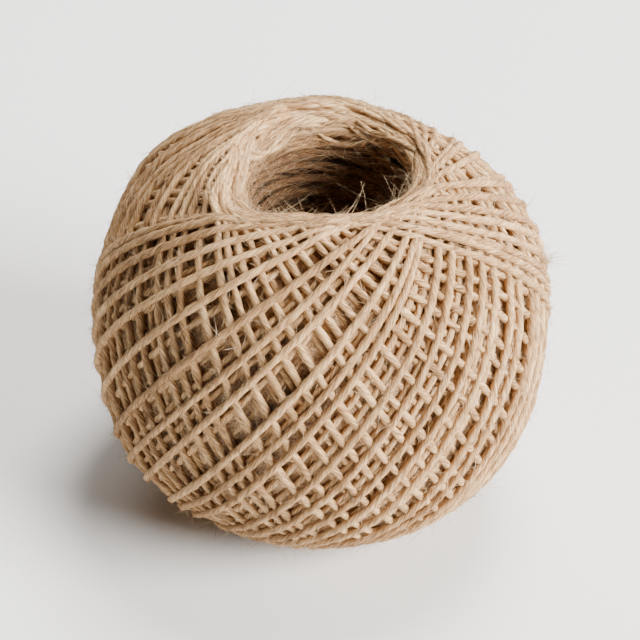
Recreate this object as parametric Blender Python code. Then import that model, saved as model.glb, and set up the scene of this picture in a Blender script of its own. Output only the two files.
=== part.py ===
"""A cross-wound ball of jute twine with a funnel-ended hole through its middle, as one solid.

The axis of the winding is Z, and the ball rests on a small flat ring at z = 0. All sizes are in metres.
"""

import math

import bpy
import numpy as np

# The wound form, to the tops of its outer turns.
BALL_RADIUS = 0.040
POLE_SHARE = 0.92  # half height of the plain form over its radius
FULLNESS = 2.3  # 2 is an ellipse, and more has fuller shoulders
RIM_RADIUS = 0.42 * BALL_RADIUS  # where the turns pass over the crest of the hole's lip
LIP_RADIUS = 0.075 * BALL_RADIUS  # rounding of the lip
THROAT_RADIUS = 0.28 * BALL_RADIUS  # narrowest part of the hole, half way down
FUNNEL_POWER = 1.6  # how fast the funnel opens towards each end
REST_FLAT = 0.0006  # depth of the flat spot that the ball rests on

# The turns: each is a tilted loop that touches the rim on one side and the lower rim on the other.
TWINE_DIAMETER = 0.0015
TURNS = 46  # loops laid while the winding goes once around the axis
CROSSING_LEAN = 0.1  # how much steeper than an even helix a loop crosses the equator
LAST_TURN_AZIMUTH = math.radians(-82)  # where the last loop touches the upper rim
GROOVE_DEPTH = 0.8 * TWINE_DIAMETER
BACK_SHARE = 0.3  # half the width of a turn's rounded back over the twine's diameter
TOUCHING_PITCH = TWINE_DIAMETER  # turns this close leave no groove
OPEN_PITCH = 2.2 * TWINE_DIAMETER  # turns this far apart leave the whole groove
LAST_BAND_RISE = 0.3 * TWINE_DIAMETER  # how far the last loops stand over the rest
LAST_BAND_TURNS = 5

# Mesh density. Each turn has two places on its back and one in the groove beside it.
OUTER_ROWS = 36
PLACES = 3
LIP_ROWS = 3
FUNNEL_ROWS = 3
PROFILE_STEPS = 3000
LIP_STEPS = 60
SLOPE_STEP = 0.01  # share of the outer curve over which a loop's slope is taken
LUMP_FADE = 6  # power of the height at which the uneven places fade out

# Uneven places of the hand-sized ball: azimuth and latitude in degrees, height and spread.
LUMPS = (
    (16, 20, 0.0009, 16),
    (151, 33, 0.0014, 14),
    (-150, -34, 0.0013, 14),
    (-115, -50, 0.0008, 12),
    (51, 46, -0.0009, 13),
    (95, -15, 0.0007, 22),
    (-40, -35, 0.0004, 18),
)


def clear_scene():
    for obj in list(bpy.data.objects):
        bpy.data.objects.remove(obj, do_unlink=True)


def superellipse():
    """Radius, height and outward normal along the plain form, from the equator to the pole."""
    angle = np.linspace(0.0, math.pi / 2, PROFILE_STEPS)
    radius = BALL_RADIUS * np.cos(angle).clip(0) ** (2 / FULLNESS)
    height = BALL_RADIUS * POLE_SHARE * np.sin(angle) ** (2 / FULLNESS)
    normal_r = (radius / BALL_RADIUS) ** (FULLNESS - 1)
    normal_z = (height / (BALL_RADIUS * POLE_SHARE)) ** (FULLNESS - 1) / POLE_SHARE
    length = np.hypot(normal_r, normal_z)
    return radius, height, normal_r / length, normal_z / length


def outer_profile():
    """The outer curve by arc length from the equator to the crest of the lip, and the lip's centre."""
    radius, height, normal_r, normal_z = superellipse()
    centre_r = radius - LIP_RADIUS * normal_r
    end = int(np.argmin(np.abs(centre_r - RIM_RADIUS)))
    lip_centre = (RIM_RADIUS, height[end] - LIP_RADIUS * normal_z[end])
    start_angle = math.atan2(normal_z[end], normal_r[end])
    angle = np.linspace(start_angle, math.pi / 2, LIP_STEPS)[1:]
    radius = np.append(radius[:end], lip_centre[0] + LIP_RADIUS * np.cos(angle))
    height = np.append(height[:end], lip_centre[1] + LIP_RADIUS * np.sin(angle))
    normal_r = np.append(normal_r[:end], np.cos(angle))
    normal_z = np.append(normal_z[:end], np.sin(angle))
    arc = np.append(0.0, np.cumsum(np.hypot(np.diff(radius), np.diff(height))))
    return arc, radius, height, normal_r, normal_z, lip_centre


ARC, RADIUS, HEIGHT, NORMAL_R, NORMAL_Z, LIP_CENTRE = outer_profile()
CREST_ARC = ARC[-1]


def loop_angle(arc):
    """How far around the axis a loop has gone when it has come down from its rim touch to this arc."""
    turn = math.acos(max(-1.0, min(1.0, arc / CREST_ARC)))
    return turn + CROSSING_LEAN * math.sin(2 * turn)


def turn_section(arc):
    """Groove depth and half the angle that a turn's back covers, where the turns cross this row.

    Grooves are deep where neighbouring turns stand apart, and vanish where they bunch at the rims.
    """
    step = CREST_ARC * SLOPE_STEP
    low = max(arc - step, -CREST_ARC)
    high = min(arc + step, CREST_ARC)
    around = float(np.interp(abs(arc), ARC, RADIUS))
    slope = (high - low) / (around * (loop_angle(low) - loop_angle(high)))
    steepness = slope / math.hypot(1.0, slope)
    spacing = 2 * math.pi * around / TURNS * steepness
    share = (spacing - TOUCHING_PITCH) / (OPEN_PITCH - TOUCHING_PITCH)
    depth = GROOVE_DEPTH * max(0.0, min(1.0, share))
    back = min(BACK_SHARE * TWINE_DIAMETER / (around * steepness), math.pi / TURNS / PLACES)
    return depth, back


def lump_rise(azimuth, arc):
    """Height of the uneven places here. They fade out before the rims, which stay round."""
    radius = float(np.interp(abs(arc), ARC, RADIUS))
    height = math.copysign(float(np.interp(abs(arc), ARC, HEIGHT)), arc)
    here = np.array([radius * math.cos(azimuth), radius * math.sin(azimuth), height])
    here /= np.linalg.norm(here)
    rise = 0.0
    for lump_azimuth, lump_latitude, size, spread in LUMPS:
        east = math.radians(lump_azimuth)
        north = math.radians(lump_latitude)
        towards = (math.cos(north) * math.cos(east), math.cos(north) * math.sin(east), math.sin(north))
        apart = math.acos(max(-1.0, min(1.0, float(here @ towards))))
        rise += size * math.exp(-((apart / math.radians(spread)) ** 2))
    fade = 1.0 - (abs(arc) / CREST_ARC) ** LUMP_FADE
    return rise * fade


def outer_point(azimuth, arc, offset):
    """A point on the outside, moved along the surface normal by the offset and the lumps."""
    offset += lump_rise(azimuth, arc)
    side = abs(arc)
    radius = float(np.interp(side, ARC, RADIUS)) + offset * float(np.interp(side, ARC, NORMAL_R))
    height = float(np.interp(side, ARC, HEIGHT)) + offset * float(np.interp(side, ARC, NORMAL_Z))
    return radius * math.cos(azimuth), radius * math.sin(azimuth), math.copysign(height, arc)


def ridge_rise(age):
    """The last loops laid lie over all the others."""
    return LAST_BAND_RISE * max(0.0, 1.0 - age / LAST_BAND_TURNS)


def outer_row(arc):
    """One row of ridges and grooves, and how many of its ridges belong to the newer loops.

    Below the last loop the falling halves of the newer loops lie on top, and above it the rising
    halves of the others do. Each ridge is followed by the groove beside it.
    """
    around = loop_angle(arc)
    pitch = 2 * math.pi / TURNS
    newer = round(2 * around / pitch)
    newer = max(0, min(TURNS, newer))
    depth, back = turn_section(arc)
    share = depth / GROOVE_DEPTH
    points = []
    for count, sense in ((newer, -1), (TURNS - newer, 1)):
        for turn in range(count):
            azimuth = LAST_TURN_AZIMUTH + turn * pitch + sense * around
            rise = ridge_rise(turn) * share
            points.append(outer_point(azimuth - back, arc, rise))
            points.append(outer_point(azimuth + back, arc, rise))
            points.append(outer_point(azimuth + pitch / 2, arc, -depth))
    return points, newer


def hole_point(azimuth, row):
    """A point on the lip and funnel. Rows run from the upper crest down to the lower crest."""
    half = LIP_ROWS + FUNNEL_ROWS
    side = 1 if row <= half else -1
    step = row if row <= half else 2 * half - row
    if step <= LIP_ROWS:
        angle = math.pi / 2 * (1 + step / LIP_ROWS)
        radius = LIP_CENTRE[0] + LIP_RADIUS * math.cos(angle)
        height = LIP_CENTRE[1] + LIP_RADIUS * math.sin(angle)
    else:
        height = LIP_CENTRE[1] * (1 - (step - LIP_ROWS) / FUNNEL_ROWS)
        mouth = LIP_CENTRE[0] - LIP_RADIUS
        share = (height / LIP_CENTRE[1]) ** FUNNEL_POWER
        radius = THROAT_RADIUS + (mouth - THROAT_RADIUS) * share
    return radius * math.cos(azimuth), radius * math.sin(azimuth), side * height


def stitch(upper, lower, ties, points):
    """Triangles between two rings of vertex numbers. A tie is a pair of places joined by an edge."""
    faces = []
    for (up, low), (up_end, low_end) in zip(ties, ties[1:] + ties[:1]):
        up_left = (up_end - up) % len(upper)
        low_left = (low_end - low) % len(lower)
        while up_left or low_left:
            next_up = (up + 1) % len(upper)
            next_low = (low + 1) % len(lower)
            to_up = math.dist(points[upper[next_up]], points[lower[low]])
            to_low = math.dist(points[upper[up]], points[lower[next_low]])
            if not low_left or (up_left and to_up <= to_low):
                faces.append((upper[up], lower[low], upper[next_up]))
                up = next_up
                up_left -= 1
            else:
                faces.append((upper[up], lower[low], lower[next_low]))
                low = next_low
                low_left -= 1
    return faces


def ring_ties(newer_above, newer_below):
    """Which places of two outer rows belong to the same ridge or groove."""
    ties = [(place, place) for place in range(PLACES * newer_above)]
    older = PLACES * (TURNS - newer_below)
    shift_above = PLACES * newer_above
    shift_below = PLACES * newer_below
    ties += [(shift_above + place, shift_below + place) for place in range(older)]
    return ties


def wound_ball():
    """Points and triangles of the whole ball, a ring of rows that runs down outside and up the hole."""
    points = []
    rings = []
    counts = []
    for row in range(OUTER_ROWS + 1):
        # Rows lie a little closer together near the rims, where the form curves most.
        down = row / OUTER_ROWS
        arc = CREST_ARC * (math.cos(math.pi * down) + 1 - 2 * down) / 2
        row_points, newer = outer_row(arc)
        rings.append(list(range(len(points), len(points) + len(row_points))))
        counts.append(newer)
        points += row_points
    faces = []
    for above in range(OUTER_ROWS):
        ties = ring_ties(counts[above], counts[above + 1])
        faces += stitch(rings[above], rings[above + 1], ties, points)

    # Inside the hole one column stands for each turn.
    from_rim = [(PLACES * turn, turn) for turn in range(TURNS)]
    straight = [(turn, turn) for turn in range(TURNS)]
    above = rings[0]
    ties = from_rim
    for row in range(1, 2 * (LIP_ROWS + FUNNEL_ROWS)):
        ring = list(range(len(points), len(points) + TURNS))
        for turn in range(TURNS):
            azimuth = LAST_TURN_AZIMUTH + (turn * 2 - 1) * math.pi / TURNS
            points.append(hole_point(azimuth, row))
        faces += [face[::-1] for face in stitch(above, ring, ties, points)]
        above = ring
        ties = straight
    # The lower crest's row starts half a turn round from the upper crest's.
    half_turn = PLACES * TURNS // 2
    lowest = rings[-1][half_turn:] + rings[-1][:half_turn]
    ties = [(turn, PLACES * turn) for turn in range(TURNS)]
    faces += [face[::-1] for face in stitch(above, lowest, ties, points)]
    return np.array(points), faces


def rest_on_ground(points):
    """Presses the lowest ring flat, and stands the ball on z = 0 with the origin under its middle."""
    ground = points[:, 2].min() + REST_FLAT
    points[:, 2] = np.maximum(points[:, 2], ground) - ground
    points[:, :2] -= (points[:, :2].min(axis=0) + points[:, :2].max(axis=0)) / 2
    return points


def twine_material():
    material = bpy.data.materials.new("jute_twine")
    material.use_nodes = True
    shader = material.node_tree.nodes["Principled BSDF"]
    shader.inputs["Base Color"].default_value = (0.52, 0.36, 0.21, 1.0)
    shader.inputs["Roughness"].default_value = 0.92
    shader.inputs["Metallic"].default_value = 0.0
    return material


def main():
    clear_scene()
    points, faces = wound_ball()
    points = rest_on_ground(points)
    mesh = bpy.data.meshes.new("twine_ball")
    mesh.from_pydata([tuple(point) for point in points], [], faces)
    mesh.update()
    ball = bpy.data.objects.new("twine_ball", mesh)
    ball.data.materials.append(twine_material())
    bpy.context.scene.collection.objects.link(ball)


main()
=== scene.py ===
"""Looks for the ball of jute twine: the twine itself is laid turn by turn over the wound form.

The twine runs as one path. Each loop touches the upper rim on one side and the lower rim on the other,
and rests on whatever lies under it. Sizes are in metres, apart from those whose names end in _MM.
"""

import math

import bpy
import numpy as np
from mathutils import Matrix, Vector


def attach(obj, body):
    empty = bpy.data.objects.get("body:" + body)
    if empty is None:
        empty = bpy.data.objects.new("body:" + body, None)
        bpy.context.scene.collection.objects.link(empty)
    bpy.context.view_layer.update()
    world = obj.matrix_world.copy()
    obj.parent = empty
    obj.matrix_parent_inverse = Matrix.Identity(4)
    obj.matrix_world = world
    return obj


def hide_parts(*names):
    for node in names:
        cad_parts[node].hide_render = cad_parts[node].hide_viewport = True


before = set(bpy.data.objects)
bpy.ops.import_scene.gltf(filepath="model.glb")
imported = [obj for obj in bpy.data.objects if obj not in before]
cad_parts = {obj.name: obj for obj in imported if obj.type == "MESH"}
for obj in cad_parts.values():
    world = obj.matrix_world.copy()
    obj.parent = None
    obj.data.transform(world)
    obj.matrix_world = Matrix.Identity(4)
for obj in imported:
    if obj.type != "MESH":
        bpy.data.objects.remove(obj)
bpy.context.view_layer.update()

MM = 0.001
NODE = "twine_ball"

# The wound form, as in the CAD.
BALL_RADIUS = 40 * MM
POLE_SHARE = 0.92  # half height of the plain form over its radius
FULLNESS = 2.3  # 2 is an ellipse, and more has fuller shoulders
RIM_RADIUS = 0.42 * BALL_RADIUS  # where the turns pass over the crest of the hole's lip
LIP_RADIUS = 0.075 * BALL_RADIUS  # rounding of the lip
THROAT_RADIUS = 0.28 * BALL_RADIUS  # narrowest part of the hole, half way down
FUNNEL_POWER = 1.6
REST_FLAT = 0.6 * MM  # depth of the flat spot underneath
LUMPS = (  # azimuth and latitude in degrees, height in mm, spread in degrees
    (16, 20, 0.9, 16),
    (151, 33, 1.4, 14),
    (-150, -34, 1.3, 14),
    (-115, -50, 0.8, 12),
    (51, 46, -0.9, 13),
    (95, -15, 0.7, 22),
    (-40, -35, 0.4, 18),
)
LUMP_FADE = 6  # power of the height at which the lumps fade out
# The last loops lie across the lip like a chord, and leave a corner of the hole open beside them.
CORNER_AZIMUTH = math.radians(-140)
CORNER_SPREAD = math.radians(25)
CORNER_OUT = 3.8 * MM  # how far the lip moves outwards there
CORNER_DOWN = 2.0 * MM
CORNER_START = 8.5 * MM  # how far outside the lip's crest the move begins
CORNER_WIDTH = 8 * MM  # the distance over which it grows
CORNER_BELOW = 12 * MM  # how far down the hole the corner fades out
CORNER_BRIDGING = 0.5  # the share of the corner that the last loops do not follow
CORNER_LOOPS = 8

# The twine.
TWINE_RADIUS = 0.66 * MM
RIM_THINNING = 0.26  # the twine is drawn tight and thin over the lip
PLY_PITCH = 7.5 * MM  # length of one full turn of the two plies
PLY_DEPTH = 0.09  # of the valley between the plies, over the twine's radius
FIBRE_TWIST = math.tan(math.radians(24)) / TWINE_RADIUS
ROUGHNESS = 0.035  # of the twine's outline, over its radius
SLUB = 0.09  # how much the thickness wanders

# The winding.
TURNS = 46  # loops in one round of the axis
ROUNDS = 4  # rounds that are laid one over the other
STEP_NARROWING = 0.07  # the loops lie closer than evenly, apart from a wide stretch near the last ones
WIDE_STRETCH = math.radians(10)
WIDE_AGE = 8  # loops before the last one
WIDE_LOOPS = 5
STEP_JITTER = 0.2  # of one step
WOBBLE, WOBBLE_EVERY = 0.0025, 0.07  # radians around the axis, and how many loops apart
ARC_WOBBLE, ARC_WOBBLE_EVERY = 0.10 * MM, 0.11
CROSSING_LEAN = 0.1  # how much steeper than an even helix a loop crosses the equator
LAST_TURN_AZIMUTH = math.radians(-82)  # where the last loop touches the upper rim
BUNCHED_LOOPS = 2.6  # how many loops' worth of advance the last loops hold back
BUNCH_LENGTH = 4.5  # loops
KICK_LOOPS = 7.0  # the last loops ride high over the left side
KICK_RISE = 17.5 * MM
KICK_POWER = 1.3
KICK_START, KICK_SPAN = 10, 160  # degrees of the loop before it touches the upper rim
NEWEST_SAG = 0.9 * MM  # how far the last loops lie outside the lip's crest
NEWEST_LOOPS = 4
NEWEST_ROUNDS = 0.7  # rounds that all end at the lip's crest
OLDER_REACH = 1.1 * MM  # how much further into the hole each older round reaches
NEWEST_SLACK, OLDER_SLACK = 0.7 * MM, 0.8 * MM  # how unevenly the loops reach the lip
SLACK_LIMITS = (-1.3, 1.6)
SAMPLES = 420  # of the path in one loop
PRESS = 0.55  # how much of its thickness the twine keeps where it crosses
CORE_DEPTH = 4.6 * MM  # of the firm inside that the oldest turns lie on
RIM_CORE_DEPTH = 1.6 * MM
CORE_MARGIN = 0.4 * MM  # how far the oldest turns may sink into it
FELT_DEPTH = 2.25 * MM  # of the matted mass under the turns
RIM_FELT_DEPTH = 1.9 * MM
LOOP_RADIUS = 0.93 * BALL_RADIUS  # a loop's mean radius
TAUT_RADIUS = 0.9 * BALL_RADIUS  # the tightest round that a taut turn takes
TAUT_SPANS = (26, 18, 12, 8, 5, 3, 2, 1)  # samples over which it is pulled straight, one after another
TOUCHING = (-0.8, -0.45, 0.0, 0.45, 0.8)  # places across the twine where it can rest, over its radius
AZIMUTH_CELLS = 1600  # of the grid that holds the height of the laid twine
ARC_CELL = 0.15 * MM
GRID_PAST_CREST = 12 * MM
SWELL_COLUMNS = 32  # the coarser grid of its broad height
SWELL_ROWS = 12
SWELL_SHARE = 93  # per cent of the cells that lie under the broad height
PROUD = 0.35 * MM  # how far single turns stand out over the form
RIM_FLATTENING = 0.5  # how much flatter they lie at the lip
WALL_LIP_SHARE = 0.45  # how high up the lip's round the turns of the hole's wall begin
WALL_BELOW_SURFACE = 1.5 * MM  # how far they stay under the ball's upper surface
WALL_DEPTH = 0.55 * MM  # how far behind the funnel the middle of each turn lies
WALL_DEPTH_JITTER = 0.3 * MM
WALL_RISE = 2.5 * MM  # height that one round of them climbs
WALL_TURNS = ((1, 45), (-1, 28))  # upper and lower half, and the turns in one round
WALL_HALF_ANGLE = math.radians(38)
WALL_TURN_RADIUS = 17 * MM  # the round in which each turn falls away at both ends
HOLE_SHADE_DEPTH = 9 * MM  # painted shade: the turns' tone darkens down to this depth in the hole
HOLE_SHADE = 0.26
HOLE_SHADE_SIDE = math.radians(30)  # and the painted shade is deeper on this side
HOLE_SIDE_SHADE = 0.34
HOLE_CORE_DEPTH = 2.4 * MM
CORE_COLUMNS, CORE_ROWS, HOLE_ROWS = 96, 40, 16

# The layout of the tubes' UVs.
SEGMENTS_PER_ROW_RATIO = 3.2  # segments in a row over the number of rows
RIBBON_WIDTH = 0.92  # of a row; the rest is left empty between the ribbons

# The loose fibres.
HAIR_RADIUS = 0.042 * MM
HAIRS_ON_TURNS = (
    ("outer_turns_new", 5000),
    ("outer_turns_old", 4800),
    ("middle_turns", 3800),
    ("inner_turns", 1200),
)
LONGEST_HAIR = 5 * MM
TUFT_AZIMUTH = math.radians(3)  # a frayed spot
TUFT_ARC = 15 * MM
TUFT_HAIRS = 40
FUZZ_HAIRS = 3600  # along the hole's wall
LONG_HAIRS = 90
LONGEST_HOLE_HAIR = 9 * MM

# Colours, from the dark to the light end of each material.
TWINE_COLOURS = ((0.18, 0.090, 0.042), (0.53, 0.305, 0.138), (0.93, 0.63, 0.335))
HAIR_COLOURS = ((0.42, 0.28, 0.155), (0.66, 0.47, 0.28), (0.88, 0.70, 0.48))
FUZZ_COLOURS = ((0.17, 0.085, 0.035), (0.66, 0.43, 0.24))
# Painted shade: a darker copy of the felt colours, for the mass inside the hole.
SHADED_HOLE_FUZZ_COLOURS = ((0.10, 0.055, 0.03), (0.26, 0.16, 0.10))
FLOOR_COLOUR = (0.86, 0.855, 0.85)

# The studio.
LAMP_COLOUR = (1.0, 0.985, 0.96)
SKY_LIGHT = 0.03
HORIZON_LIGHT = 0.6
HORIZON_TOP, SKY_START = 0.07, 0.18  # heights on the unit sphere
FLOOR_HALF = 1.6
CAMERA_ELEVATION = math.radians(37)
CAMERA_LEAN = math.radians(4)
CAMERA_DISTANCE = 0.5
CAMERA_LENS = 160

rng = np.random.default_rng(11)


def around_axis(azimuth, radius, height):
    """Points at that azimuth and distance from the ball's axis."""
    return np.stack([radius * np.cos(azimuth), radius * np.sin(azimuth), height], -1)


def smoothstep(value):
    value = np.clip(value, 0.0, 1.0)
    return value * value * (3 - 2 * value)


# ---------------------------------------------------------------- the form


def form_profile():
    """The section of the form by arc length: from the equator over the lip and down the funnel."""
    angle = np.linspace(0.0, math.pi / 2, 3000)
    radius = BALL_RADIUS * np.cos(angle).clip(0) ** (2 / FULLNESS)
    height = BALL_RADIUS * POLE_SHARE * np.sin(angle) ** (2 / FULLNESS)
    normal_r = (radius / BALL_RADIUS) ** (FULLNESS - 1)
    normal_z = (height / (BALL_RADIUS * POLE_SHARE)) ** (FULLNESS - 1) / POLE_SHARE
    length = np.hypot(normal_r, normal_z)
    normal_r, normal_z = normal_r / length, normal_z / length
    end = int(np.argmin(np.abs(radius - LIP_RADIUS * normal_r - RIM_RADIUS)))
    centre_z = height[end] - LIP_RADIUS * normal_z[end]
    lip = np.linspace(math.atan2(normal_z[end], normal_r[end]), math.pi, 160)[1:]
    radius = np.append(radius[:end], RIM_RADIUS + LIP_RADIUS * np.cos(lip))
    height = np.append(height[:end], centre_z + LIP_RADIUS * np.sin(lip))
    normal_r = np.append(normal_r[:end], np.cos(lip))
    normal_z = np.append(normal_z[:end], np.sin(lip))
    crest = end + int(np.argmin(np.abs(lip - math.pi / 2)))
    down = np.linspace(centre_z, 0.0, 200)[1:]
    radius = np.append(radius, funnel_radius(down, centre_z))
    height = np.append(height, down)
    normal_r = np.append(normal_r, np.full(down.shape, -1.0))
    normal_z = np.append(normal_z, np.zeros(down.shape))
    arc = np.append(0.0, np.cumsum(np.hypot(np.diff(radius), np.diff(height))))
    return arc, radius, height, normal_r, normal_z, arc[crest], height[crest], centre_z


def funnel_radius(height, mouth_height):
    mouth = RIM_RADIUS - LIP_RADIUS
    share = np.clip(np.abs(height) / mouth_height, 0.0, 1.0) ** FUNNEL_POWER
    return THROAT_RADIUS + (mouth - THROAT_RADIUS) * share


ARC, RADIUS, HEIGHT, NORMAL_R, NORMAL_Z, CREST_ARC, CREST_HEIGHT, MOUTH_HEIGHT = form_profile()
MIDDLE_HEIGHT = CREST_HEIGHT - REST_FLAT  # of the ball's middle over the ground
HAIR_CEILING = MIDDLE_HEIGHT + CREST_HEIGHT + 3 * MM


def lump_rise(azimuth, arc):
    """How far the uneven places stand out there."""
    radius = np.interp(np.abs(arc), ARC, RADIUS)
    height = np.sign(arc) * np.interp(np.abs(arc), ARC, HEIGHT)
    here = around_axis(azimuth, radius, height)
    here /= np.linalg.norm(here, axis=-1, keepdims=True)
    rise = np.zeros(np.shape(azimuth))
    for east, north, size, spread in LUMPS:
        east, north = math.radians(east), math.radians(north)
        towards = around_axis(east, math.cos(north), math.sin(north))
        apart = np.arccos(np.clip(here @ towards, -1, 1))
        rise += size * MM * np.exp(-((apart / math.radians(spread)) ** 2))
    return rise * np.clip(1.0 - (np.abs(arc) / CREST_ARC) ** LUMP_FADE, 0.0, 1.0)


def surface_height(radius):
    """Height of the upper surface at that distance from the axis, from the lip outwards."""
    outside = ARC <= CREST_ARC
    return np.interp(radius, RADIUS[outside][::-1], HEIGHT[outside][::-1])


def near_rim(arc, reach, width):
    """Grows from 0 to 1, from that far outside the lip's crest."""
    return smoothstep((np.abs(arc) - (CREST_ARC - reach)) / width)


def corner_share(azimuth):
    """How much of the hole's corner is open at that azimuth."""
    apart = (azimuth - CORNER_AZIMUTH + math.pi) % (2 * math.pi) - math.pi
    return np.exp(-((apart / CORNER_SPREAD) ** 2))


def corner_shift(azimuth, arc):
    return corner_share(azimuth) * smoothstep((arc - CREST_ARC + CORNER_START) / CORNER_WIDTH)


def on_form(azimuth, arc, offset, follow=1.0):
    """Points at that offset along the form's normal, and the normals there."""
    side = np.abs(arc)
    sign = np.where(arc < 0, -1.0, 1.0)
    normal_r = np.interp(side, ARC, NORMAL_R)
    normal_z = np.interp(side, ARC, NORMAL_Z) * sign
    offset = offset + lump_rise(azimuth, arc)
    shift = follow * corner_shift(azimuth, arc)
    radius = np.interp(side, ARC, RADIUS) + offset * normal_r + CORNER_OUT * shift
    height = np.interp(side, ARC, HEIGHT) * sign + offset * normal_z - CORNER_DOWN * shift
    points = around_axis(azimuth, radius, height + MIDDLE_HEIGHT)
    return points, around_axis(azimuth, normal_r, normal_z)


# ---------------------------------------------------------------- the winding


def wander(places, knot_every, size):
    """A smooth random line over places, with a new value at every knot."""
    knots = np.arange(places[0] - 2 * knot_every, places[-1] + 3 * knot_every, knot_every)
    values = rng.normal(0.0, size, len(knots))
    low = np.clip(((places - knots[0]) / knot_every).astype(int), 0, len(knots) - 2)
    share = smoothstep((places - knots[low]) / knot_every)
    return values[low] * (1 - share) + values[low + 1] * share


def winding_path():
    """Azimuth and arc of the twine's middle line, the loop count along it, and how crowded it lies."""
    loops = TURNS * ROUNDS + BUNCHED_LOOPS
    count = np.arange(0, loops + 0.5, 1 / SAMPLES)
    age = loops - count
    since = np.clip(age, 0, None)
    pitch = 2 * math.pi / TURNS
    held_back = BUNCHED_LOOPS * (1 - np.exp(-since / BUNCH_LENGTH))
    azimuth = LAST_TURN_AZIMUTH + pitch * (age * (1 - STEP_NARROWING) - held_back) - 2 * math.pi * age
    widened = np.tanh((age - WIDE_AGE) / WIDE_LOOPS) + math.tanh(WIDE_AGE / WIDE_LOOPS)
    azimuth += WIDE_STRETCH * widened
    azimuth += CROSSING_LEAN * np.sin(-4 * math.pi * age)
    azimuth += wander(count, 0.5, STEP_JITTER * pitch) + wander(count, WOBBLE_EVERY, WOBBLE)
    turn = -2 * math.pi * age  # zero where the last loop touches the upper rim
    older = np.clip(age / TURNS - NEWEST_ROUNDS, 0, ROUNDS - 1)  # these reach over the lip
    slack = (NEWEST_SLACK + OLDER_SLACK * older) * np.clip(wander(count, 0.5, 1.0), *SLACK_LIMITS)
    reach = CREST_ARC - NEWEST_SAG * np.exp(-since / NEWEST_LOOPS) + OLDER_REACH * older + slack
    arc = reach * np.cos(turn)
    phase = (turn + math.pi) % (2 * math.pi) - math.pi
    window = np.clip((-math.degrees(1) * phase - KICK_START) / KICK_SPAN, 0, 1)
    kick = KICK_RISE * np.clip(1 - (age / KICK_LOOPS) ** 2, 0, 1)
    kick *= np.sin(math.pi * window).clip(0) ** KICK_POWER
    arc += np.where(phase < 0, kick, 0.0) + wander(count, ARC_WOBBLE_EVERY, ARC_WOBBLE)
    crowd = 1 - BUNCHED_LOOPS / BUNCH_LENGTH * np.exp(-since / BUNCH_LENGTH)
    return azimuth, arc, count, loops, crowd


def family_spacing(arc):
    """Distance between neighbouring loops of one round, square to them, where they cross this arc."""
    turn = np.arccos(np.clip(np.abs(arc) / CREST_ARC, 0, 0.99999))
    fall = CREST_ARC * np.sin(turn)
    radius = np.interp(np.abs(arc), ARC, RADIUS)
    around = radius * (1 + 2 * CROSSING_LEAN * np.cos(2 * turn))
    return 2 * math.pi / TURNS * radius * fall / np.hypot(fall, around)


def core_depth(arc):
    """How deep the firm inside lies under the form."""
    return CORE_DEPTH + (RIM_CORE_DEPTH - CORE_DEPTH) * near_rim(arc, 5 * MM, 7 * MM)


def kept_thickness(arc, crowd):
    """The share of its thickness that a turn adds over what it lies on.

    Crowded turns settle side by side and add little.
    """
    spread = np.clip(crowd * family_spacing(arc) / (2 * TWINE_RADIUS), 0.0, 1.0)
    return PRESS * np.clip(1 - np.sqrt(1 - spread**2), 0.05, 1.0)


def smoothed(values, width):
    """Evens out a line over an odd number of places."""
    kernel = np.hanning(width + 2)[1:-1]
    padded = np.pad(values, width // 2, mode="edge")
    return np.convolve(padded, kernel / kernel.sum(), mode="valid")


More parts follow.
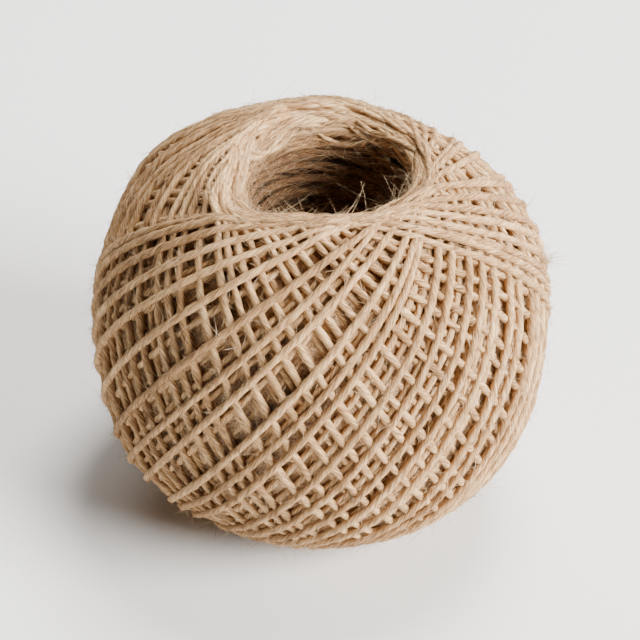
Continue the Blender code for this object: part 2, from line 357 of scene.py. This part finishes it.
class Ground:
    """How high the laid twine stands over the form, on a grid of azimuth and arc."""

    def __init__(self):
        self.low = -(CREST_ARC + GRID_PAST_CREST)
        self.rows = int(-2 * self.low / ARC_CELL) + 1
        arcs = self.low + ARC_CELL * np.arange(self.rows)
        self.height = np.repeat(-core_depth(arcs)[None, :], AZIMUTH_CELLS, 0)

    def cells(self, azimuth, arc):
        column = np.floor(azimuth / (2 * math.pi) * AZIMUTH_CELLS).astype(int) % AZIMUTH_CELLS
        row = np.clip(((arc - self.low) / ARC_CELL + 0.5).astype(int), 0, self.rows - 1)
        return column, row

    def across(self, azimuth, arc, side):
        """Cells at distances side (in metres) square to the path."""
        around = np.interp(np.abs(arc), ARC, RADIUS)
        step_a = np.gradient(azimuth) * around
        step_s = np.gradient(arc)
        length = np.hypot(step_a, step_s) + 1e-12
        out_a = -step_s / length / around
        out_s = step_a / length
        return self.cells(azimuth[:, None] + out_a[:, None] * side, arc[:, None] + out_s[:, None] * side)

    def support(self, azimuth, arc):
        """Height of the twine's middle line where it would rest on what is laid so far."""
        side = np.array(TOUCHING) * TWINE_RADIUS
        round_back = np.sqrt(TWINE_RADIUS**2 - side**2)
        return (self.height[self.across(azimuth, arc, side)] + round_back).max(1)

    def swell(self, azimuth, arc):
        """The broad height of the laid twine over the form, which the form itself already has."""
        columns = AZIMUTH_CELLS // SWELL_COLUMNS
        rows = self.rows // SWELL_ROWS
        blocks = self.height[:, : rows * SWELL_ROWS].reshape(SWELL_COLUMNS, columns, rows, SWELL_ROWS)
        broad = np.percentile(blocks, SWELL_SHARE, axis=(1, 3))
        for _ in range(2):
            broad = (np.roll(broad, 1, 0) + 2 * broad + np.roll(broad, -1, 0)) / 4
            padded = np.pad(broad, ((0, 0), (1, 1)), mode="edge")
            broad = (padded[:, :-2] + 2 * broad + padded[:, 2:]) / 4
        column = azimuth / (2 * math.pi) * SWELL_COLUMNS - 0.5
        row = np.clip((arc - self.low) / ARC_CELL / SWELL_ROWS - 0.5, 0, rows - 1.001)
        left, low = np.floor(column).astype(int), row.astype(int)
        part, rise = column - left, row - low
        left, right = left % SWELL_COLUMNS, (left + 1) % SWELL_COLUMNS
        near = broad[left, low] * (1 - rise) + broad[left, low + 1] * rise
        far = broad[right, low] * (1 - rise) + broad[right, low + 1] * rise
        return near * (1 - part) + far * part

    def lay(self, azimuth, arc, offset):
        """Raises the ground to the twine's round back along the path."""
        fine = np.linspace(0, len(azimuth) - 1, 4 * len(azimuth))
        places = np.arange(len(azimuth))
        azimuth = np.interp(fine, places, azimuth)
        arc = np.interp(fine, places, arc)
        offset = np.interp(fine, places, offset)
        side = np.linspace(-1, 1, 11) * TWINE_RADIUS
        top = offset[:, None] + np.sqrt(np.clip(TWINE_RADIUS**2 - side**2, 0, None))
        np.maximum.at(self.height, self.across(azimuth, arc, side), top)


def pulled_taut(contact, step):
    """The lowest line over the contact heights that a taut twine can take on a round form."""
    line = contact.copy()
    for span in TAUT_SPANS:
        if 2 * span >= len(line):
            continue
        sag = (span * step) ** 2 / (2 * TAUT_RADIUS)
        for _ in range(3):
            middle = (line[: -2 * span] + line[2 * span :]) / 2 - sag
            line[span:-span] = np.maximum(line[span:-span], middle)
    return line


def wound_twine():
    """Lays the path over the form, a half loop at a time. Returns its azimuth, arc, offset and count."""
    azimuth, arc, count, loops, crowd = winding_path()
    ground = Ground()
    offset = np.zeros(len(azimuth))
    chunk = SAMPLES // 2
    lead = 40  # samples of the half loop before, which the taut line runs on from
    step = 2 * math.pi * LOOP_RADIUS / SAMPLES
    for start in range(0, len(azimuth), chunk):
        end = min(start + chunk, len(azimuth))
        first = max(0, start - lead)
        part = slice(first, end)
        rest = ground.support(azimuth[part], arc[part])
        rest -= (1 - kept_thickness(arc[part], crowd[part])) * 2 * TWINE_RADIUS
        rest[: start - first] = offset[first:start]
        line = pulled_taut(rest, step)
        line[: start - first] = offset[first:start]
        offset[part] = line
        new = slice(max(0, start - 1), end)
        ground.lay(azimuth[new], arc[new], offset[new])
    offset -= ground.swell(azimuth, arc)
    level = offset + TWINE_RADIUS
    level *= 1 - RIM_FLATTENING * near_rim(arc, 12 * MM, 10 * MM)
    high = np.clip(level - PROUD, 0, None)
    offset = level - TWINE_RADIUS - high + PROUD * np.tanh(high / PROUD)
    deep = core_depth(arc) + CORE_MARGIN
    offset = np.where(offset < 0, -deep * np.tanh(-offset / deep), offset)
    return azimuth, arc, smoothed(offset, 7), count, loops


# ---------------------------------------------------------------- tubes


class Pieces:
    """Vertices, faces and their UV and attributes, gathered for one mesh."""

    def __init__(self):
        self.points, self.faces, self.fibre, self.tone, self.uv = [], [], [], [], []
        self.size = 0

    def add_tube(self, line, normal, radius, sides, length, tone, twist=0.0, plies=0.0, roughness=0.0):
        """A round cord along a line. Length is the distance along the whole twine at each ring."""
        count = len(line)
        line = line.copy()
        line[:, 2] = np.maximum(line[:, 2], radius)
        tangent = np.gradient(line, axis=0)
        tangent /= np.linalg.norm(tangent, axis=1, keepdims=True) + 1e-15
        across = np.cross(tangent, normal)
        across /= np.linalg.norm(across, axis=1, keepdims=True) + 1e-15
        up = np.cross(across, tangent)
        angle = np.arange(sides) * 2 * math.pi / sides
        around = angle[None, :] - (length / PLY_PITCH * 2 * math.pi)[:, None]
        size = radius[:, None] * (1 + plies * np.cos(2 * around) + rng.normal(0, roughness, around.shape))
        out = np.cos(angle)[None, :, None] * across[:, None, :]
        out = out + np.sin(angle)[None, :, None] * up[:, None, :]
        ring = line[:, None, :] + size[..., None] * out
        turned = angle[None, :] - twist * length[:, None]
        fibre = np.stack(
            [
                np.cos(turned) * radius[:, None] / MM,
                np.sin(turned) * radius[:, None] / MM,
                np.broadcast_to(length[:, None] / MM, turned.shape),
            ],
            -1,
        )
        base = self.size
        row = np.arange(count - 1)[:, None] * sides
        here = np.arange(sides)[None, :]
        after = (here + 1) % sides
        quads = np.stack([row + here, row + after, row + sides + after, row + sides + here], -1)
        self.points.append(ring.reshape(-1, 3))
        self.fibre.append(fibre.reshape(-1, 3))
        self.tone.append(np.repeat(tone, sides))
        self.faces.append(quads.reshape(-1, 4) + base)
        self.uv.append((count - 1, sides))
        self.size += count * sides

    def mesh(self, name):
        points = np.concatenate(self.points)
        faces = np.concatenate(self.faces)
        mesh = bpy.data.meshes.new(name)
        mesh.vertices.add(len(points))
        mesh.vertices.foreach_set("co", points.astype(np.float32).ravel())
        mesh.loops.add(faces.size)
        mesh.loops.foreach_set("vertex_index", faces.astype(np.int32).ravel())
        mesh.polygons.add(len(faces))
        mesh.polygons.foreach_set("loop_start", np.arange(len(faces), dtype=np.int32) * 4)
        mesh.update(calc_edges=True)
        mesh.shade_smooth()
        fibre = mesh.attributes.new("fibre_space", "FLOAT_VECTOR", "POINT")
        fibre.data.foreach_set("vector", np.concatenate(self.fibre).astype(np.float32).ravel())
        # The tone attribute carries random tone together with painted shade in the hole and painted light
        # on the deeper rounds.
        tone = mesh.attributes.new("strand_tone_and_painted_light", "FLOAT", "POINT")
        tone.data.foreach_set("value", np.concatenate(self.tone).astype(np.float32))
        layer = mesh.uv_layers.new(name="OFBake")
        layer.data.foreach_set("uv", self.ribbons().astype(np.float32).ravel())
        mesh.validate()
        return mesh

    def ribbons(self):
        """UVs that lay the tubes out as rows of flat ribbon over the whole square."""
        segments = np.concatenate([np.arange(count) + start for count, start in self.starts()])
        total = sum(count for count, _ in self.uv)
        sides = self.uv[0][1]
        rows = max(1, round(math.sqrt(total / SEGMENTS_PER_ROW_RATIO)))
        per_row = -(-total // rows)
        column, row = segments % per_row, segments // per_row
        left, right = column / per_row, (column + 1) / per_row
        parts = np.arange(sides) / sides
        low = (row[:, None] + (1 - RIBBON_WIDTH) / 2 + RIBBON_WIDTH * parts) / rows
        high = low + RIBBON_WIDTH / sides / rows
        left = np.broadcast_to(left[:, None], low.shape)
        right = np.broadcast_to(right[:, None], low.shape)
        corners = ((left, low), (left, high), (right, high), (right, low))
        return np.stack([np.stack(corner, -1) for corner in corners], 2).reshape(-1, 2)

    def starts(self):
        start = 0
        for count, _ in self.uv:
            yield count, start
            start += count


def resampled(azimuth, arc, offset, follow, step):
    """The path at even steps of real length: points, normals and distance along it."""
    points, _ = on_form(azimuth, arc, offset, follow)
    length = np.append(0.0, np.cumsum(np.linalg.norm(np.diff(points, axis=0), axis=1)))
    even = np.linspace(0, length[-1], max(3, int(length[-1] / step)))
    path = (azimuth, arc, offset, follow)
    azimuth, arc, offset, follow = (np.interp(even, length, values) for values in path)
    points, normals = on_form(azimuth, arc, offset, follow)
    thinned = 1 - RIM_THINNING * smoothstep((np.abs(arc) / CREST_ARC - 0.75) / 0.25)
    return points, normals, even, thinned


def add_piece(name, mesh, material):
    piece = bpy.data.objects.new(name, mesh)
    bpy.context.scene.collection.objects.link(piece)
    piece.data.materials.append(material)
    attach(piece, "root")
    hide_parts(NODE)
    return piece


# ---------------------------------------------------------------- materials


def twine_material(name, dark, middle, light, sheen):
    """Streaked plant fibre. The streaks run along fibre_space, thin dark creases across them are painted
    shade, and the tone attribute lightens or darkens whole turns, carrying their random tone as well as
    painted shade in the hole and painted light on the deeper rounds.
    """
    material = bpy.data.materials.new(name)
    material.use_nodes = True
    nodes, links = material.node_tree.nodes, material.node_tree.links
    shader = nodes["Principled BSDF"]
    shader.inputs["Roughness"].default_value = 0.82
    shader.inputs["Metallic"].default_value = 0.0
    shader.inputs["Specular IOR Level"].default_value = 0.12
    shader.inputs["Sheen Weight"].default_value = sheen
    shader.inputs["Sheen Roughness"].default_value = 0.45
    shader.inputs["Sheen Tint"].default_value = (1.0, 0.82, 0.60, 1.0)

    space = nodes.new("ShaderNodeAttribute")
    space.attribute_name = "fibre_space"
    tone = nodes.new("ShaderNodeAttribute")
    tone.attribute_name = "strand_tone_and_painted_light"

    def stretched(along):
        mapping = nodes.new("ShaderNodeMapping")
        mapping.inputs["Scale"].default_value = (1.0, 1.0, along)
        links.new(space.outputs["Vector"], mapping.inputs["Vector"])
        return mapping

    fibres = nodes.new("ShaderNodeTexNoise")
    fibres.inputs["Scale"].default_value = 3.4
    fibres.inputs["Detail"].default_value = 6.0
    fibres.inputs["Roughness"].default_value = 0.72
    links.new(stretched(0.10).outputs["Vector"], fibres.inputs["Vector"])
    patches = nodes.new("ShaderNodeTexNoise")
    patches.inputs["Scale"].default_value = 0.16
    patches.inputs["Detail"].default_value = 3.0
    links.new(stretched(1.0).outputs["Vector"], patches.inputs["Vector"])

    total = nodes.new("ShaderNodeMath")
    total.operation = "MULTIPLY_ADD"
    total.inputs[1].default_value = 0.5
    links.new(patches.outputs["Fac"], total.inputs[0])
    links.new(tone.outputs["Fac"], total.inputs[2])
    mixed = nodes.new("ShaderNodeMath")
    mixed.operation = "MULTIPLY_ADD"
    mixed.inputs[1].default_value = 1.9
    links.new(fibres.outputs["Fac"], mixed.inputs[0])
    links.new(total.outputs["Value"], mixed.inputs[2])
    spread = nodes.new("ShaderNodeMapRange")
    spread.inputs["From Min"].default_value = 0.86
    spread.inputs["From Max"].default_value = 1.56
    links.new(mixed.outputs["Value"], spread.inputs["Value"])
    ramp = nodes.new("ShaderNodeValToRGB")
    ramp.color_ramp.elements[0].color = (*dark, 1)
    ramp.color_ramp.elements[1].color = (*light, 1)
    ramp.color_ramp.elements.new(0.5).color = (*middle, 1)
    links.new(spread.outputs["Result"], ramp.inputs["Fac"])
    # Painted shade: thin dark creases, where shade falls between the fibre bundles, darken the colour.
    crease_shade_noise = nodes.new("ShaderNodeTexNoise")
    crease_shade_noise.inputs["Scale"].default_value = 7.5
    crease_shade_noise.inputs["Detail"].default_value = 2.0
    links.new(stretched(0.07).outputs["Vector"], crease_shade_noise.inputs["Vector"])
    painted_crease_shade = nodes.new("ShaderNodeMapRange")
    painted_crease_shade.inputs["From Min"].default_value = 0.36
    painted_crease_shade.inputs["From Max"].default_value = 0.52
    painted_crease_shade.inputs["To Min"].default_value = 0.42
    links.new(crease_shade_noise.outputs["Fac"], painted_crease_shade.inputs["Value"])
    darkened = nodes.new("ShaderNodeVectorMath")
    darkened.operation = "SCALE"
    links.new(ramp.outputs["Color"], darkened.inputs[0])
    links.new(painted_crease_shade.outputs["Result"], darkened.inputs["Scale"])
    links.new(darkened.outputs["Vector"], shader.inputs["Base Color"])

    bump = nodes.new("ShaderNodeBump")
    bump.inputs["Strength"].default_value = 1.0
    bump.inputs["Distance"].default_value = 0.22 * MM
    links.new(fibres.outputs["Fac"], bump.inputs["Height"])
    links.new(bump.outputs["Normal"], shader.inputs["Normal"])
    return material


def felt_material(name, dark, light):
    """Matted fibres with no direction of their own."""
    material = plain_material(name, light, 0.95)
    nodes, links = material.node_tree.nodes, material.node_tree.links
    shader = nodes["Principled BSDF"]
    place = nodes.new("ShaderNodeTexCoord")
    fuzz = nodes.new("ShaderNodeTexNoise")
    fuzz.inputs["Scale"].default_value = 1400.0
    fuzz.inputs["Detail"].default_value = 4.0
    fuzz.inputs["Roughness"].default_value = 0.7
    fuzz.inputs["Distortion"].default_value = 1.5
    links.new(place.outputs["Object"], fuzz.inputs["Vector"])
    ramp = nodes.new("ShaderNodeValToRGB")
    ramp.color_ramp.elements[0].position = 0.36
    ramp.color_ramp.elements[0].color = (*dark, 1)
    ramp.color_ramp.elements[1].position = 0.62
    ramp.color_ramp.elements[1].color = (*light, 1)
    links.new(fuzz.outputs["Fac"], ramp.inputs["Fac"])
    links.new(ramp.outputs["Color"], shader.inputs["Base Color"])
    bump = nodes.new("ShaderNodeBump")
    bump.inputs["Distance"].default_value = 0.5 * MM
    links.new(fuzz.outputs["Fac"], bump.inputs["Height"])
    links.new(bump.outputs["Normal"], shader.inputs["Normal"])
    return material


def plain_material(name, colour, roughness):
    material = bpy.data.materials.new(name)
    material.use_nodes = True
    shader = material.node_tree.nodes["Principled BSDF"]
    shader.inputs["Base Color"].default_value = (*colour, 1)
    shader.inputs["Roughness"].default_value = roughness
    return material


# ---------------------------------------------------------------- pieces


def add_turns(path, twine):
    """The laid twine, cut into pieces from the newest round to the oldest."""
    azimuth, arc, offset, count, loops = path
    half = TURNS / 2
    follow = 1 - CORNER_BRIDGING * np.exp(-(((loops - count) / CORNER_LOOPS) ** 2))
    cuts = (  # name, first and last loop, sides of the cord, step along it, and painted light: how much lighter it is made against the shade on the deeper rounds
        ("outer_turns_new", loops - half, loops + 0.5, 8, 0.62 * MM, 0.0),
        ("outer_turns_old", loops - TURNS, loops - half, 8, 0.62 * MM, 0.0),
        ("middle_turns", loops - 2 * TURNS, loops - TURNS, 6, 0.95 * MM, 0.05),
        ("inner_turns", loops - 3 * TURNS, loops - 2 * TURNS, 5, 1.4 * MM, 0.14),
        ("inmost_turns", -1.0, loops - 3 * TURNS, 5, 2.4 * MM, 0.14),
    )
    made = {}
    for name, start, end, sides, step, painted_light_lift in cuts:
        part = (count >= start - 1 / SAMPLES) & (count <= end + 1 / SAMPLES)
        laid = (values[part] for values in (azimuth, arc, offset, follow))
        line, normal, length, thinned = resampled(*laid, step)
        length = length + rng.uniform(0, 1)
        thick = 1 + wander(length / MM, 9.0, SLUB * 0.6) + wander(length / MM, 2.5, SLUB * 0.35)
        thick *= TWINE_RADIUS * thinned
        # The deeper rounds get painted light: their tone is lifted against the shade between the newer
        # turns.
        tone = painted_light_lift + 0.10 * np.tanh(wander(length / MM, 140.0, 1.0))
        tone += wander(length / MM, 25.0, 0.03)
        gathered = Pieces()
        gathered.add_tube(line, normal, thick, sides, length, tone, FIBRE_TWIST, PLY_DEPTH, ROUGHNESS)
        add_piece(name, gathered.mesh(name), twine)
        made[name] = (line, normal, length)
    return made


def add_hole_wall(twine):
    """The inner turns where they pass the hole: each shows only where it touches the funnel."""
    gathered = Pieces()
    top = MOUTH_HEIGHT + WALL_LIP_SHARE * LIP_RADIUS
    turn = np.linspace(-WALL_HALF_ANGLE, WALL_HALF_ANGLE, 11)
    lines = []
    for side, per_round in WALL_TURNS:
        number = int(top / WALL_RISE * per_round)
        for k in range(number):
            middle = rng.normal(0, 0.05) - side * k * 2 * math.pi / per_round + (0 if side > 0 else 1.3)
            azimuth = middle + turn
            height = min(top, top * (1 - (k / number) ** 1.25) + rng.normal(0, 0.25 * MM))
            over = min(max(height - MOUTH_HEIGHT, 0.0), LIP_RADIUS)
            wall = funnel_radius(min(height, MOUTH_HEIGHT), MOUTH_HEIGHT)
            wall += WALL_DEPTH + abs(rng.normal(0, WALL_DEPTH_JITTER))
            wall += LIP_RADIUS - math.sqrt(LIP_RADIUS**2 - over**2)
            opened = np.zeros(len(turn))
            if side > 0:
                opened = corner_share(azimuth) * smoothstep(1 - (top - height) / CORNER_BELOW)
            plain = wall / np.cos(0.93 * turn)  # nearly straight across the hole's wall
            radius = plain + CORNER_OUT * opened
            fall = (radius * np.sin(turn)) ** 2 / (2 * WALL_TURN_RADIUS)
            tilt = rng.normal(0, 0.12) * radius * np.sin(turn)
            ceiling = surface_height(plain) - CORNER_DOWN * opened - WALL_BELOW_SURFACE
            z = side * np.minimum(height - fall + tilt, ceiling)
            line = around_axis(azimuth, radius, z + MIDDLE_HEIGHT)
            normal = around_axis(azimuth, -1.0, np.zeros(len(turn)))
            length = rng.uniform(0, 3) + radius * turn
            thick = np.full(len(turn), TWINE_RADIUS * rng.uniform(0.7, 0.95))
            # Painted shade: the tone darkens with depth in the hole, and more on the side towards
            # HOLE_SHADE_SIDE.
            depth = smoothstep((top - height) / HOLE_SHADE_DEPTH)
            facing = (1 + np.cos(azimuth - HOLE_SHADE_SIDE)) / 2
            shade = -depth * (HOLE_SHADE + HOLE_SIDE_SHADE * facing)
            tone = rng.normal(0, 0.07) + shade
            gathered.add_tube(line, normal, thick, 5, length, tone, twist=FIBRE_TWIST, roughness=ROUGHNESS)
            lines.append((line, normal, shade))
    add_piece("hole_wall_turns", gathered.mesh("hole_wall_turns"), twine)
    return lines


def add_core(felt, deep):
    """The mass of older turns and their fuzz, seen only between the newer ones. Its part in the hole takes
    a darker copy of the felt, which is painted shade.
    """
    columns, rows = CORE_COLUMNS, CORE_ROWS
    arcs = np.linspace(CREST_ARC + 1 * MM, -CREST_ARC - 1 * MM, rows)
    azimuth = np.arange(columns) * 2 * math.pi / columns
    rings = []
    for arc in arcs:
        depth = FELT_DEPTH + (RIM_FELT_DEPTH - FELT_DEPTH) * near_rim(arc, 8 * MM, 8 * MM)
        points, _ = on_form(azimuth, np.full(columns, arc), np.full(columns, -depth))
        rings.append(points)
    for height in np.linspace(-MOUTH_HEIGHT, MOUTH_HEIGHT, HOLE_ROWS):
        opened = corner_share(azimuth) * smoothstep(1 - (MOUTH_HEIGHT - height) / CORNER_BELOW)
        radius = funnel_radius(height, MOUTH_HEIGHT) + HOLE_CORE_DEPTH + CORNER_OUT * opened
        rings.append(around_axis(azimuth, radius, np.full(columns, height + MIDDLE_HEIGHT)))
    total = len(rings)
    faces = []
    for row in range(total):
        here, below = row * columns, (row + 1) % total * columns
        for column in range(columns):
            beside = (column + 1) % columns
            faces.append((here + column, below + column, below + beside, here + beside))
    mesh = bpy.data.meshes.new("inner_mass")
    mesh.from_pydata(np.concatenate(rings).tolist(), [], faces)
    mesh.shade_smooth()
    piece = add_piece("inner_mass", mesh, felt)
    # Painted shade: the part of the mass in the hole takes the darker copy of the felt.
    piece.data.materials.append(deep)
    hole_faces = np.repeat(np.arange(total) >= rows, columns)
    mesh.polygons.foreach_set("material_index", hole_faces.astype(np.int32))


def fibre_line(start, direction, length, bend, steps):
    """A loose fibre that leaves start and curls towards bend."""
    along = np.linspace(0, 1, steps + 1)[:, None]
    return start + length * (direction * along + bend * along**2)


def unit(vector):
    return vector / (np.linalg.norm(vector) + 1e-12)


def grow(gathered, point, direction, normal, length, thickness, curl, tone):
    """One tapering, bent fibre."""
    line = fibre_line(point, direction, length, rng.normal(0, curl, 3), 2 if length < 3.5 * MM else 4)
    line[:, 2] = np.minimum(line[:, 2], HAIR_CEILING)
    thick = thickness * np.linspace(1.0, 0.35, len(line)) * rng.uniform(0.8, 1.3)
    normals = normal[None, :] + np.zeros_like(line)
    gathered.add_tube(line, normals, thick, 3, np.linspace(0, length, len(line)), np.full(len(line), tone))


def add_loose_fibres(turns, hair):
    """Short fibres that stand off the turns, and one frayed spot. They are shorter around the hole."""
    gathered = Pieces()
    for name, number in HAIRS_ON_TURNS:
        line, normal, _ = turns[name]
        for place in rng.integers(2, len(line) - 2, number):
            along = unit(line[place + 1] - line[place - 1]) * rng.choice((-1, 1))
            side = np.cross(along, normal[place])
            around = rng.uniform(-1.2, 1.2)
            out = math.cos(around) * normal[place] + math.sin(around) * side
            direction = unit(along + out * rng.uniform(0.15, 0.9) + side * rng.normal(0, 0.3))
            length = min(0.7 * MM + rng.exponential(0.9 * MM), LONGEST_HAIR)
            length *= 1 - 0.5 * smoothstep((line[place][2] - 2 * CREST_HEIGHT + 8 * MM) / (6 * MM))
            root = line[place] + out * TWINE_RADIUS * 0.9
            tone = rng.normal(0.1, 0.12)
            grow(gathered, root, direction, normal[place], length, HAIR_RADIUS, 0.28, tone)
    for _ in range(TUFT_HAIRS):
        point, normal = on_form(TUFT_AZIMUTH, TUFT_ARC, 0.0)
        point = point + rng.normal(0, 0.5 * MM, 3)
        direction = unit(normal + rng.normal(0, 0.45, 3) + np.array([0, 0, 0.3]))
        length = rng.uniform(1.2, 3.6) * MM
        root = point - direction * 0.5 * MM
        grow(gathered, root, direction, unit(rng.normal(0, 1, 3)), length, HAIR_RADIUS, 0.35, 0.2)
    add_piece("loose_fibres", gathered.mesh("loose_fibres"), hair)


def add_hole_fibres(wall_lines, hair):
    """Fuzz along the turns of the hole's wall, and a few long fibres that cross the hole."""
    gathered = Pieces()
    upper = 2 * len(wall_lines) // 3  # about as far down as the hole can be seen into
    for number in range(FUZZ_HAIRS + LONG_HAIRS):
        long = number >= FUZZ_HAIRS
        line, normal, shade = wall_lines[int(upper * rng.uniform(0, 1) ** (1.6 if long else 1.1))]
        place = rng.integers(3, 8)
        along = unit(line[place + 1] - line[place - 1]) * rng.choice((-1, 1))
        out = normal[place]
        lift = rng.uniform(0.25, 1.0) if long else rng.uniform(0.05, 0.45)
        direction = along * rng.uniform(0.5, 1.0) + out * lift
        direction = unit(direction + np.array([0, 0, rng.normal(0.05, 0.25)]))
        if long:
            length = min(2.5 * MM + rng.exponential(2.5 * MM), LONGEST_HOLE_HAIR)
        else:
            length = 1.2 * MM + rng.exponential(1.0 * MM)
        # Painted shade: the fibres in the hole take 0.7 of the wall's painted shade into their tone.
        tone = rng.normal(0.12, 0.1) + 0.7 * shade[place]
        root = line[place] + out * TWINE_RADIUS * 0.8
        if root[2] + direction[2] * length > HAIR_CEILING:
            direction[2] *= -0.5
        grow(gathered, root, direction, out, length, 0.8 * HAIR_RADIUS, 0.5, tone)
    add_piece("hole_fibres", gathered.mesh("hole_fibres"), hair)


def studio_world():
    """A weak even light that grows into a pale band low around the horizon."""
    world = bpy.data.worlds.new("studio")
    world.use_nodes = True
    nodes, links = world.node_tree.nodes, world.node_tree.links
    place = nodes.new("ShaderNodeTexCoord")
    parts = nodes.new("ShaderNodeSeparateXYZ")
    links.new(place.outputs["Generated"], parts.inputs["Vector"])
    band = nodes.new("ShaderNodeMapRange")
    band.inputs["From Min"].default_value = HORIZON_TOP
    band.inputs["From Max"].default_value = SKY_START
    band.inputs["To Min"].default_value = HORIZON_LIGHT
    band.inputs["To Max"].default_value = SKY_LIGHT
    links.new(parts.outputs["Z"], band.inputs["Value"])
    nodes["Background"].inputs["Color"].default_value = (1.0, 1.0, 1.0, 1.0)
    links.new(band.outputs["Result"], nodes["Background"].inputs["Strength"])
    return world


def add_stage():
    floor_mesh = bpy.data.meshes.new("floor")
    corners = [(x * FLOOR_HALF, y * FLOOR_HALF, 0) for x, y in ((-1, -1), (1, -1), (1, 1), (-1, 1))]
    floor_mesh.from_pydata(corners, [], [(0, 1, 2, 3)])
    floor = bpy.data.objects.new("floor", floor_mesh)
    floor.location.z = -0.0003
    floor.data.materials.append(plain_material("pale_floor", FLOOR_COLOUR, 0.9))
    bpy.context.scene.collection.objects.link(floor)

    def area(name, place, size, power):
        lamp = bpy.data.lights.new(name, "AREA")
        lamp.shape = "DISK"
        lamp.size = size
        lamp.energy = power
        lamp.color = LAMP_COLOUR
        obj = bpy.data.objects.new(name, lamp)
        obj.location = place
        direction = -(np.array(place) - np.array([0, 0, 0.03]))
        obj.rotation_euler = Vector(direction).to_track_quat("-Z", "Y").to_euler()
        bpy.context.scene.collection.objects.link(obj)

    area("key_light", (1.01, -0.42, 0.58), 0.8, 66.0)
    area("top_light", (0.15, 0.36, 1.0), 0.5, 19.0)
    area("back_light", (-0.1, 1.20, 0.70), 0.8, 8.0)
    bpy.context.scene.world = studio_world()


def add_camera():
    target = Vector((0.0, 0.0, MIDDLE_HEIGHT))
    back = Vector((0.0, -math.cos(CAMERA_ELEVATION), math.sin(CAMERA_ELEVATION)))
    camera = bpy.data.cameras.new("camera")
    camera.lens = CAMERA_LENS
    camera.sensor_width = 36
    obj = bpy.data.objects.new("camera", camera)
    turn = (-back).to_track_quat("-Z", "Y").to_matrix().to_4x4()
    place = Matrix.Translation(target + back * CAMERA_DISTANCE)
    obj.matrix_world = place @ turn @ Matrix.Rotation(CAMERA_LEAN, 4, "Z")
    bpy.context.scene.collection.objects.link(obj)
    bpy.context.scene.camera = obj


def main():
    path = wound_twine()
    twine = twine_material("jute_twine_fibre", *TWINE_COLOURS, sheen=0.06)
    hair = twine_material("jute_hair", *HAIR_COLOURS, sheen=0.05)
    felt = felt_material("fuzz_between_turns", *FUZZ_COLOURS)
    # The hole's felt is a darker copy of the same felt: painted shade.
    deep = felt_material("fuzz_in_hole_painted_shade", *SHADED_HOLE_FUZZ_COLOURS)
    turns = add_turns(path, twine)
    wall_lines = add_hole_wall(twine)
    add_core(felt, deep)
    add_loose_fibres(turns, hair)
    add_hole_fibres(wall_lines, hair)
    add_stage()
    add_camera()


main()
